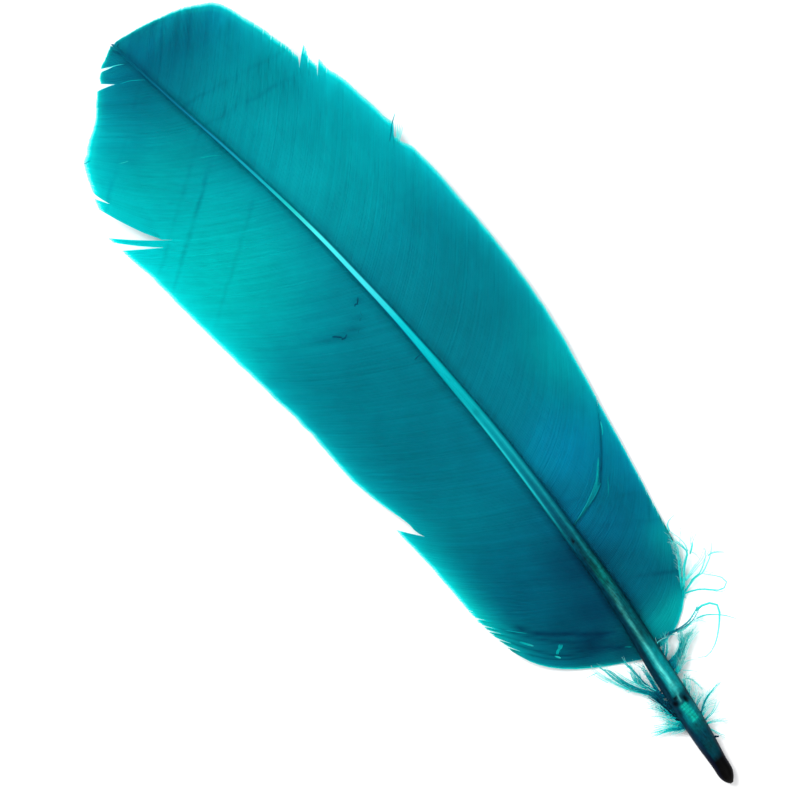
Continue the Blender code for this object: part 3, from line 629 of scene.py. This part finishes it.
# strands, spread at foot and tip, half width, tint at foot and tip, hairs per mm, points that it follows
down["locks"] = [
    # right: strands along the frayed rim
    (2, 0.12, 0.25, 0.26, 0.62, 0.66, 0.7, [(25.4, 52.4, 1.6), (27.7, 54.9, 1.9), (29.5, 57, 2.1), (31.4, 58.4, 2.3),
        (32.9, 59.9, 2.5), (32.75, 61.6, 2.7), (32.3, 64.2, 2.9)]),
    (2, 0.15, 0.2, 0.2, 0.56, 0.7, 0.5, [(24.6, 52, 1.3), (26.2, 54.6, 1.6), (28.3, 57.8, 1.9), (30.2, 60.6, 2.1),
        (31.3, 62.6, 2.3), (31.2, 65.2, 2.5)]),
    (4, 0.35, 0.6, 0.1, 0.56, 0.72, 0.5, [(23.4, 49.8, 1), (25.8, 52.9, 1.3), (28, 56.4, 1.6), (29.9, 60, 1.9),
        (31.4, 63.6, 2.2), (32.6, 67, 2.6)]),
    (1, 0, 0, 0.12, 0.74, 0.84, 0.3, [(33, 59.6, 2.6), (33.7, 62.3, 2.9), (33.5, 64.7, 3.1), (32.7, 67.4, 3.2)]),
    (2, 0.1, 0.3, 0.14, 0.66, 0.86, 0.4, [(32.6, 67.4, 2.4), (33.7, 69.6, 2.9), (35.2, 70.3, 3.3),
        (37.2, 70.5, 3.6)]),
    (1, 0, 0, 0.1, 0.78, 0.92, 0.3, [(32.4, 62.6, 2.6), (34, 64.3, 3), (35.5, 65.8, 3.4), (37.3, 67.9, 3.8)]),
    (3, 0.1, 0.7, 0.12, 0.76, 0.88, 0.4, [(33, 58.6, 2.4), (34.9, 60, 2.8), (36.2, 61.6, 3.2), (38.3, 63, 3.5)]),
    (1, 0, 0, 0.1, 0.78, 0.94, 0.2, [(33.4, 59.4, 2.4), (34.2, 57.2, 2.6), (34, 54.8, 2.8)]),
    # right: the strand that ends in a brush, its pale companions and the loop under it
    (2, 0.1, 0.6, 0.2, 0.6, 0.78, 0.7, [(24.9, 51.1, 0.9), (27.2, 51.8, 1.4), (29.7, 52.5, 1.9), (32.1, 52.3, 2.3),
        (34, 53.2, 2.7), (35.9, 54.2, 3), (37.7, 55.7, 3.3), (39, 57.4, 3.6)]),
    (3, 0.3, 0.9, 0.13, 0.7, 0.9, 0.5, [(27, 53.6, 1.6), (30, 54.2, 2), (32.4, 54.8, 2.4), (35, 55.2, 2.8),
        (37.2, 56.2, 3.2), (38.8, 57, 3.5)]),
    (2, 0.1, 0.3, 0.12, 0.8, 0.86, 0.3, [(36.6, 54.9, 2.9), (38.2, 54.7, 3), (39.9, 53.7, 3), (41.8, 52, 2.9)]),
    (1, 0, 0, 0.32, 0.64, 0.94, 0.2, [(24.6, 50.7, 1.2), (27.9, 49.3, 1.8), (30, 47.7, 2.4), (31.7, 45.9, 2.7),
        (33.3, 44.8, 2.8), (35, 44.7, 2.8), (35.9, 45.9, 2.9), (35.6, 47.5, 3), (34.6, 48.9, 3.1), (33.3, 50.3, 3.2),
        (31.9, 52, 3.3)]),
    (1, 0, 0, 0.1, 0.86, 0.9, 0.1, [(31, 46.8, 2.5), (32.2, 44.9, 2.6), (33.8, 44.1, 2.6), (35.6, 44.4, 2.7)]),
    (1, 0, 0, 0.09, 0.86, 0.94, 0.2, [(33, 50.6, 3.1), (34.4, 50.4, 3.2), (35.8, 50.6, 3.2)]),
    # right: the dark strand under the vane's foot, its big loop and what crosses it
    (4, 0.16, 0.5, 0.2, 0.06, 0.56, 0.6, [(9.5, 45.3, 2.4), (13.2, 44.9, 2.6), (16.2, 44.1, 2.8), (19, 43.75, 3),
        (21.6, 43.9, 3.1), (23.6, 44.7, 3.3), (25.2, 45.4, 3.4)]),
    (3, 0.1, 0.5, 0.12, 0.6, 0.84, 0.4, [(15.4, 43.6, 2.6), (18.4, 43, 2.8), (21, 43.1, 2.9), (23, 42.5, 2.7),
        (25, 41.6, 2.4)]),
    (1, 0, 0, 0.32, 0.64, 0.96, 0.2, [(23.6, 45, 3.3), (26.2, 45, 3.5), (28.2, 44.1, 3.6), (29.5, 42.4, 3.6),
        (29, 40.8, 3.4), (27.4, 38.8, 3.2), (24.6, 36.1, 2.8), (22, 34.1, 2.4), (19.8, 33, 2), (17.8, 32.6, 1.8),
        (16.2, 33.1, 1.7), (15.3, 34, 1.6)]),
    (1, 0, 0, 0.17, 0.62, 0.74, 0.1, [(22.3, 43.1, 3), (24.8, 42.3, 2.9), (27, 40.6, 2.6), (29, 38.6, 2.2),
        (31.2, 35.6, 1.4)]),
    # right: wet locks beside the shaft
    (5, 0.35, 0.4, 0.2, 0.16, 0.56, 1, [(6.4, 38.2, 2.6), (9.4, 38.5, 2.7), (12, 38.9, 2.8), (14, 40.1, 3),
        (15.4, 41.6, 3.2), (16.3, 43.2, 3.4)]),
    (7, 0.8, 0.7, 0.22, 0.2, 0.66, 1.2, [(6.2, 36.6, 2.4), (9.6, 37.2, 2.5), (12.6, 38.6, 2.6), (15, 40, 2.6),
        (17.4, 41.2, 2.4), (19.4, 41.6, 2.2)]),
    (4, 0.4, 0.9, 0.13, 0.5, 0.86, 0.8, [(8, 35.2, 2.2), (11.4, 36.4, 2.4), (14.2, 38.4, 2.5), (17.6, 40.2, 2.4),
        (21.6, 41.2, 2.1)]),
    (4, 0.3, 0.3, 0.17, 0.2, 0.42, 0.8, [(6.6, 40.4, 2.8), (8.8, 42, 3), (10.3, 43.6, 3.1), (11.4, 45.2, 3.1)]),
    (3, 0.2, 0.3, 0.13, 0.3, 0.6, 0.6, [(7.4, 39.6, 2.8), (10, 41.8, 3), (11.6, 43.6, 3.1), (12.6, 45.2, 3.1)]),
    (1, 0, 0, 0.14, 0.75, 0.9, 0.2, [(8, 44.2, 3), (9.4, 45.1, 3.2), (11, 45, 3.2), (12.4, 44.4, 3.2)]),
    (1, 0, 0, 0.11, 0.3, 0.74, 0.2, [(8.6, 34.4, 2.4), (10.9, 35.3, 2.4), (12.6, 35.2, 2), (14.8, 33.8, 1.6)]),
    (1, 0, 0, 0.09, 0.7, 0.86, 0.2, [(9.6, 34.2, 2.3), (11.6, 32.2, 2), (12.9, 30.6, 1.6)]),
    (5, 0.4, 0.8, 0.13, 0.36, 0.84, 1.2, [(6.4, 34.4, 2.4), (8.8, 35.2, 2.5), (11.6, 37, 2.6), (13.6, 37.6, 2.4)]),
    # right: the tuft that arches up from the worn patch
    (4, 0.25, 0.4, 0.14, 0.3, 0.74, 1, [(5.4, 27.6, 2.8), (6.9, 30, 3), (8.3, 31.9, 3), (9.7, 33, 2.8)]),
    (3, 0.2, 0.5, 0.12, 0.34, 0.86, 0.8, [(5.6, 26.4, 2.8), (7.4, 28.8, 3), (9, 30.8, 2.9), (10, 31.6, 2.6)]),
    (3, 0.15, 0.3, 0.1, 0.6, 0.86, 0.5, [(7, 30.4, 2.9), (8.6, 31.8, 3), (9.8, 30.6, 2.9), (10.3, 28.4, 2.5),
        (10.5, 26, 2)]),
    (4, 0.3, 1, 0.1, 0.4, 0.9, 1, [(5.2, 24.6, 2.6), (6.8, 26.2, 2.7), (8.4, 27.4, 2.6), (9.6, 28.8, 2.3)]),
    (3, 0.2, 0.5, 0.14, 0.2, 0.74, 0.8, [(4.8, 23, 2.6), (6.4, 24, 2.6), (8, 24.8, 2.5), (9.4, 25.3, 2.3)]),
    (3, 0.1, 0.35, 0.17, 0.2, 0.72, 0.8, [(4.4, 20.6, 2.4), (6.6, 21.8, 2.5), (8.6, 23.1, 2.4), (10.8, 23.9, 2.2),
        (13.2, 24.3, 1.9), (15.9, 24.7, 1.6)]),
    (4, 0.3, 1, 0.12, 0.5, 0.92, 0.8, [(4.6, 20, 2.3), (6.8, 21.2, 2.3), (9, 21.8, 2.2), (11.6, 21, 1.8)]),
    (2, 0.1, 0.4, 0.15, 0.26, 0.86, 0.6, [(4.2, 18.8, 2.4), (6.2, 19, 2.3), (8.8, 19.3, 2), (11.8, 20.7, 1.6)]),
    (3, 0.15, 0.5, 0.12, 0.6, 0.84, 0.6, [(4, 18, 2.4), (6.2, 17.4, 2.2), (8.4, 16.2, 1.8), (11.2, 14.2, 1.2)]),
    (2, 0.1, 0.3, 0.13, 0.74, 0.88, 0.4, [(4.4, 16.6, 2.2), (5.3, 14.4, 1.9), (5.9, 12.6, 1.5), (6.8, 10.8, 1)]),
    # left: the thick lock, its pale companions and the thin ends beyond it
    (6, 0.4, 0.2, 0.26, 0.14, 0.58, 0.7, [(1.6, 31, 2.4), (-0.6, 33, 2.4), (-2.6, 36, 2.4), (-4.6, 39.2, 2.6),
        (-6.2, 42.4, 2.8), (-7.2, 45.6, 3), (-7.7, 48.6, 3.2), (-8.3, 50.4, 3.4)]),
    (3, 0.15, 0.3, 0.14, 0.56, 0.84, 0.6, [(-2.4, 35, 2.3), (-4.8, 38.2, 2.4), (-6.9, 41.6, 2.5), (-8.4, 45, 2.6),
        (-9.6, 48.6, 2.8), (-10.3, 51.2, 3)]),
    (2, 0.2, 0.3, 0.13, 0.62, 0.86, 0.4, [(-1.6, 36.4, 2.5), (-3.2, 39.4, 2.6), (-4.8, 43, 2.8), (-5.9, 46.6, 3)]),
    (1, 0, 0, 0.12, 0.7, 0.84, 0.3, [(-9.8, 49.6, 2.6), (-11.4, 50, 2.4), (-13, 50.4, 2.2), (-14.6, 51, 2)]),
    (1, 0, 0, 0.12, 0.66, 0.78, 0.3, [(-9.4, 45.4, 2.6), (-10.2, 47.4, 2.6), (-10.8, 49.2, 2.6), (-11.2, 50.6, 2.6)]),
    # left: the upright strands beside the shaft
    (4, 0.25, 0.25, 0.2, 0.2, 0.6, 0.6, [(0.6, 33, 2.6), (-0.9, 36, 2.6), (-1.5, 39.4, 2.7), (-1.5, 43, 2.8),
        (-1.9, 46.9, 2.9)]),
    (5, 0.5, 0.5, 0.2, 0.4, 0.62, 0.8, [(-1.6, 37, 2.4), (-2.4, 39.4, 2.4), (-2.8, 41.6, 2.4), (-2.2, 44, 2.4)]),
    (1, 0, 0, 0.16, 0.8, 0.92, 0.2, [(-0.2, 34.6, 3), (-1, 36.8, 3), (-1.7, 38.8, 3), (-1.6, 40.6, 3)]),
    (2, 0.2, 0.4, 0.1, 0.46, 0.7, 0.5, [(1.4, 36, 2.6), (1, 39, 2.6), (1.3, 42, 2.7), (0.2, 45.4, 2.8)]),
    (4, 0.3, 0.5, 0.19, 0.16, 0.44, 0.5, [(-0.1, 31.5, 2.5), (0.3, 35.5, 2.6), (0.8, 39.5, 2.7), (1.3, 43.5, 2.8)]),
    # left: dark wet lock at the shaft, and wisps that stand out from it
    (8, 0.35, 0.9, 0.28, 0, 0.1, 0.1, [(0.4, 20.4, 2.4), (-0.3, 23.4, 2.5), (-0.6, 26.4, 2.6), (-0.8, 29.4, 2.7),
        (-1.1, 32.4, 2.7), (-1.7, 35, 2.7)]),
    (6, 0.6, 0.5, 0.24, 0.02, 0.2, 0.3, [(1.6, 27, 2.4), (-0.4, 30, 2.3), (-1.9, 32.6, 2.2), (-2.6, 34.8, 2.1)]),
    (5, 0.5, 1.1, 0.14, 0.24, 0.86, 0.4, [(0.8, 26, 2.6), (-1.8, 28.6, 2.4), (-3.4, 31.4, 2.2), (-5, 33.6, 1.8)]),
    (4, 0.4, 1, 0.14, 0.3, 0.86, 0.35, [(0.4, 24, 2.6), (-2, 26.4, 2.5), (-3.6, 28.6, 2.3), (-5.4, 30.4, 2)]),
    (3, 0.3, 0.6, 0.15, 0.5, 0.86, 0.4, [(0, 22.4, 2.6), (-1.9, 24, 2.6), (-3, 26, 2.5), (-4, 28.2, 2.2)]),
    (6, 0.5, 0.7, 0.22, 0.02, 0.26, 0.2, [(1, 21.5, 2.4), (-0.6, 24.5, 2.4), (-1.6, 27.5, 2.3), (-2.5, 31, 2.2)]),
    (4, 0.4, 0.7, 0.19, 0.16, 0.66, 0.3, [(0.6, 20.6, 2.5), (-1.6, 22.6, 2.5), (-3.2, 24.4, 2.4), (-4.8, 26.6, 2.2)]),
    (5, 0.3, 0.6, 0.2, 0.1, 0.78, 0.45, [(1, 20.2, 2.4), (-1.4, 21.4, 2.4), (-3.6, 22.8, 2.4), (-5.6, 24, 2.2),
        (-7.6, 24.8, 2), (-9.2, 25.6, 1.8)]),
    (3, 0.25, 0.8, 0.14, 0.6, 0.94, 0.4, [(-1.8, 22.4, 2.5), (-4, 24.4, 2.4), (-6.2, 26, 2.1), (-8.6, 27.2, 1.8)]),
    (2, 0.1, 0.4, 0.14, 0.5, 0.76, 0.5, [(0.2, 20.2, 2.3), (-1.6, 20.8, 2.2), (-3, 21.2, 2), (-4.6, 22.4, 1.9)]),
    # a chip of skin lifted at the quill's side
    (2, 0.1, 0.1, 0.26, 0, 0.02, 0, [(4.1, 13.6, 3.5), (4.8, 13.2, 3.6), (5.3, 12.7, 3.4)]),
]
# hairs over the vanes' edges: the same, with z as the height over the vane
down["onVane"] = [
    (2, 0.05, 0.05, 0.12, 0.3, 0.5, 0, [(43.4, 206.4, 0.2), (45.2, 207.9, 0.3), (47.6, 210, 0.3),
        (50.2, 211.7, 0.2)]),
    (5, 0.4, 1.3, 0.11, 0.56, 0.98, 0.5, [(44.8, 204.3, 0.1), (46.2, 205.6, 0.2), (47.6, 207, 0.3),
        (49.2, 208.7, 0.3)]),
    (1, 0, 0, 0.12, 0.3, 0.4, 0, [(-26.4, 257.9, 0.1), (-27.4, 258, 0.1), (-28.6, 258.3, 0.1)]),
    (6, 0.25, 0.8, 0.2, 0.28, 0.34, 0, [(0.5, 276.9, 0.1), (0, 278.1, 0.2), (-0.3, 279.3, 0.2)]),
    (2, 0.1, 0.25, 0.17, 0.24, 0.34, 0, [(0.2, 277.9, 0.15), (1, 278.7, 0.2), (1.9, 279, 0.2)]),
    # the tongue of barbs folded over beside the slit, and loose bits
    (9, 0.05, 0.85, 0.2, 0.34, 0.42, 0, [(12.6, 86.6, 0.2), (16.2, 87.6, 0.25), (19.8, 88.7, 0.3), (23.2, 90.1, 0.3),
        (26.2, 91.7, 0.25)]),
    (3, 0.3, 0.05, 0.15, 0.42, 0.48, 0, [(24.6, 91.4, 0.3), (26.2, 92.4, 0.3), (28.3, 94.6, 0.3), (30.8, 97.2, 0.2)]),
    (2, 0.06, 0.06, 0.12, 0.5, 0.6, 0, [(35.7, 101.3, 0.2), (36.6, 102.3, 0.25), (38, 104.8, 0.2)]),
    (3, 0.14, 0.1, 0.14, 0.46, 0.66, 0, [(-21.4, 71.1, 0.2), (-20.3, 69.4, 0.25), (-19, 67.4, 0.2)]),
    (2, 0.06, 0.12, 0.16, 0.6, 0.72, 0, [(-16.2, 61.2, 0.2), (-15.8, 60.6, 0.25), (-15.2, 59.6, 0.2)]),
    (4, 0.3, 0.12, 0.13, 0.5, 0.58, 0, [(-15.4, 61.1, 0.2), (-14.4, 61.8, 0.3), (-13.4, 62, 0.2)]),
    (3, 0.1, 0.3, 0.12, 0.54, 0.48, 0, [(-14.6, 62, 0.25), (-13.4, 61.9, 0.3), (-12.4, 62.5, 0.2)]),
    (3, 0.3, 0.1, 0.1, 0.44, 0.52, 0, [(-14.6, 61.2, 0.2), (-13.6, 62.3, 0.25), (-12.9, 62.9, 0.2)]),
    # fine pale barbs lying over the web
    (1, 0, 0, 0.08, 0.5, 0.56, 0, [(0.9, 265.5, 0.1), (-0.9, 266.9, 0.12), (-3, 268.3, 0.12), (-5.6, 269.3, 0.1)]),
    (1, 0, 0, 0.09, 0.6, 0.8, 0, [(-0.8, 272.8, 0.1), (-2.4, 273.8, 0.12), (-4.6, 274.8, 0.12), (-6.6, 275.4, 0.1)]),
    (1, 0, 0, 0.09, 0.52, 0.56, 0, [(3.6, 234.9, 0.1), (0.8, 236.8, 0.12), (-2, 238.4, 0.1)]),
    (1, 0, 0, 0.09, 0.56, 0.62, 0, [(-20.8, 252.1, 0.1), (-19.4, 251.3, 0.12), (-18, 250.7, 0.1)]),
    (1, 0, 0, 0.09, 0.44, 0.5, 0, [(25.6, 86.6, 0.1), (27, 88.2, 0.12), (29.4, 91.2, 0.1)]),
    (1, 0, 0, 0.1, 0.5, 0.56, 0, [(-22.4, 76.4, 0.1), (-20.2, 73.8, 0.12), (-18, 71.4, 0.1)]),
    (1, 0, 0, 0.12, 0.4, 0.5, 0, [(1, 50.1, 0.2), (1.8, 49.5, 0.2), (2.6, 48.8, 0.2)]),
    # dark scratches near the middle
    (3, 0.2, 0.1, 0.15, 0.18, 0.1, 0, [(-5.9, 173.8, 0.1), (-4.7, 172.9, 0.12), (-3.7, 171.8, 0.12)]),
    (3, 0.16, 0.14, 0.14, 0.1, 0.2, 0, [(-4.3, 171.6, 0.1), (-3.1, 171.2, 0.12), (-2, 171.7, 0.1)]),
    (1, 0, 0, 0.1, 0.22, 0.28, 0, [(0.6, 169.6, 0.1), (1.6, 170.4, 0.1), (2.6, 170.2, 0.1)]),
    (1, 0, 0, 0.12, 0.2, 0.26, 0, [(3.2, 172, 0.1), (3.9, 172.6, 0.1), (4.4, 172.4, 0.1)]),
    (2, 0.14, 0.1, 0.14, 0.18, 0.1, 0, [(7.4, 177.9, 0.1), (6.6, 177, 0.12), (5.8, 176.4, 0.1)]),
    (2, 0.1, 0.14, 0.13, 0.12, 0.2, 0, [(6.2, 176.2, 0.1), (5.4, 176.7, 0.12), (4.8, 176.3, 0.1)]),
    (1, 0, 0, 0.1, 0.24, 0.3, 0, [(5.4, 174.2, 0.1), (4.9, 173.4, 0.1), (5.2, 172.6, 0.1)]),
    (2, 0.1, 0.1, 0.12, 0.2, 0.24, 0, [(8.2, 153.2, 0.1), (9.6, 153.4, 0.12), (10.9, 153.2, 0.1)]),
]


def alongPath(points, rings):
    points = np.array(points, float)
    lengths = np.concatenate([[0], np.cumsum(np.linalg.norm(np.diff(points, axis=0), axis=1))])
    path = through([(s, *p) for s, p in zip(lengths, points)])
    return path(np.linspace(0, lengths[-1], rings)), lengths[-1]


def lockPieces(names, locks, surface):
    rng = np.random.default_rng(down["seed"])
    strands, widths, tints, hairs, hairTints = [], [], [], [], []
    shares = np.linspace(0, 1, down["rings"])
    hairShares = np.linspace(0, 1, down["hairRings"])
    for many, footSpread, tipSpread, thick, footTint, tipTint, hairy, points in locks:
        path, length = alongPath(points, down["rings"])
        ahead = unit(np.gradient(path, axis=0))
        sideways = np.cross([0, 0, 1.0], ahead)
        for k in range(many):
            place = 0 if many == 1 else (k / (many - 1) - 0.5) * 2
            wave = np.sin(shares * rng.uniform(3, 9) + rng.uniform(0, 6)) * shares
            apart = place * (footSpread + (tipSpread - footSpread) * shares**1.4) + 0.35 * thick * wave
            strand = path + sideways * apart[:, None]
            if many > 1 and surface is None:
                strand = strand[0] + (strand - strand[0]) * rng.uniform(0.86, 1.03)
                strand[:, 2] += rng.uniform(-0.25, 0.3) * shares
            strand[:, 2] = np.maximum(strand[:, 2], 0.05 if surface else 0.25)
            strands.append(strand)
            narrowing = 1 - 0.65 * shares**1.6 if surface is None else 1 - 0.9 * np.abs(2 * shares - 1) ** 3
            widths.append(thick * rng.uniform(0.8, 1.15) * narrowing)
            tint = footTint + (tipTint - footTint) * shares**0.8 + rng.uniform(-0.05, 0.05)
            tints.append(tint)
            for hair in range(int(length * hairy * down["fluff"])):
                s = rng.uniform(0.15, 1.0) * (down["rings"] - 1.001)
                i, f = int(s), s - int(s)
                root = strand[i] * (1 - f) + strand[i + 1] * f
                angle = rng.choice([-1, 1]) * rng.uniform(*down["hairAngle"])
                away = ahead[i] * math.cos(angle) + sideways[i] * math.sin(angle)
                away[2] += rng.uniform(-0.3, 0.4)
                reach = rng.uniform(*down["hairLength"]) * (1 - 0.3 * s / down["rings"])
                t = hairShares[:, None]
                made = root + away * reach * t + ahead[i] * reach * rng.uniform(0, 0.5) * t**2
                made[:, 2] = np.maximum(made[:, 2], 0.2)
                hairs.append(made)
                hairTints.append(tint[i] + 0.16 + 0.2 * hairShares)
    halfWidth = np.array(widths)
    made = [bentBars(names[0], np.array(strands), halfWidth, halfWidth * 0.6, {"tint": np.array(tints)},
                     surface=surface)]
    if len(names) > 1:
        halfWidth = down["hairHalfWidth"] * (1 - 0.6 * hairShares)[None, :] * np.ones((len(hairs), 1))
        made.append(bentBars(names[1], np.array(hairs), halfWidth, halfWidth, {"tint": np.array(hairTints)},
                             sides=3))
    return made


def downMaterial():
    # dyed down: loose fine barbs, deep where they crowd or are wet and pale where light comes through
    material, add, shader = newMaterial("dyedDown", down["surface"])
    tint = add("Attribute", "Fac", attribute_name="tint")
    strand = add("Attribute", "Vector", attribute_name="strand")
    fibre = add("TexNoise", "Fac", {"Vector": strand, "Scale": 1.3, "Detail": 3, "Roughness": 0.6})
    shaken = add("MapRange", 0, {"Value": fibre, "To Min": -0.12, "To Max": 0.12})
    tinted = add("Math", 0, {0: tint, 1: shaken}, operation="ADD")
    base = add("ValToRGB", "Color", {"Fac": tinted}, stops=down["tints"])
    material.node_tree.links.new(base, shader.inputs["Base Color"])
    return material


downStuff = downMaterial()
for piece in lockPieces(("downStrands", "downHairs"), down["locks"], None) \
        + lockPieces(("looseBarbs",), down["onVane"], vaneSurface):
    piece.data.materials.append(downStuff)
    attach(piece, "root")
    print(piece.name, len(piece.data.polygons), "faces")

studio = {"floorSize": 3.0, "cameraHeight": 1.5, "lens": 232.0, "keyPower": 16.0, "fillPower": 5.0, "sky": 0.62}


def floorPiece():
    bm = bmesh.new()
    bmesh.ops.create_grid(bm, x_segments=1, y_segments=1, size=studio["floorSize"])
    bmesh.ops.translate(bm, verts=bm.verts, vec=(0, 0, boxLow.z - 0.00005))
    mesh = bpy.data.meshes.new("floor")
    bm.to_mesh(mesh)
    bm.free()
    floor = bpy.data.objects.new("floor", mesh)
    bpy.context.scene.collection.objects.link(floor)
    # smooth white card, very slightly mottled
    material, add, shader = newMaterial("paleCard", {"Roughness": 0.8, "Specular IOR Level": 0.1})
    place = add("TexCoord", "Object")
    mottle = add("TexNoise", "Fac", {"Vector": place, "Scale": 6, "Detail": 2})
    colour = add("Mix", 2, {0: mottle, 6: fromHex("#f6f7f9"), 7: fromHex("#ffffff")}, data_type="RGBA")
    material.node_tree.links.new(colour, shader.inputs["Base Color"])
    mesh.materials.append(material)
    return floor


floorPiece()
scene = bpy.context.scene
scene.view_settings.view_transform = "Standard"
world = bpy.data.worlds.new("softStudio")
scene.world = world
world.use_nodes = True
sky = world.node_tree.nodes["Background"]
sky.inputs["Color"].default_value = (1, 1, 1, 1)
sky.inputs["Strength"].default_value = studio["sky"]

# the photograph's own directions: up and to the right of the picture, seen on the surface
pictureUp = Vector((0.64486, 0.76428, 0))
pictureRight = Vector((0.76428, -0.64486, 0))
pictureMiddle = Vector((*((np.array([-2.56, 147.1]) + toRow[:2]) * mm), 0))


def areaLight(name, direction, distance, size, power):
    light = bpy.data.lights.new(name, "AREA")
    light.shape = "DISK"
    light.size = size
    light.energy = power
    holder = bpy.data.objects.new(name, light)
    scene.collection.objects.link(holder)
    holder.location = pictureMiddle + direction.normalized() * distance
    holder.rotation_euler = (-direction).to_track_quat("-Z", "Y").to_euler()


areaLight("keyLight", pictureUp * 0.7 - pictureRight * 0.9 + Vector((0, 0, 1.5)), 1.2, 0.7, studio["keyPower"])
areaLight("fillLight", pictureRight * 0.8 - pictureUp * 0.5 + Vector((0, 0, 1.4)), 1.4, 1.0, studio["fillPower"])

camera = bpy.data.cameras.new("camera")
camera.lens = studio["lens"]
camera.sensor_width = 36.0
camera.clip_end = 10.0
cameraHolder = bpy.data.objects.new("camera", camera)
scene.collection.objects.link(cameraHolder)
cameraHolder.matrix_world = Matrix.Translation(pictureMiddle + Vector((0, 0, studio["cameraHeight"]))) @ Matrix(
    (pictureRight, pictureUp, Vector((0, 0, 1)))).transposed().to_4x4()
scene.camera = cameraHolder
print("light and camera")
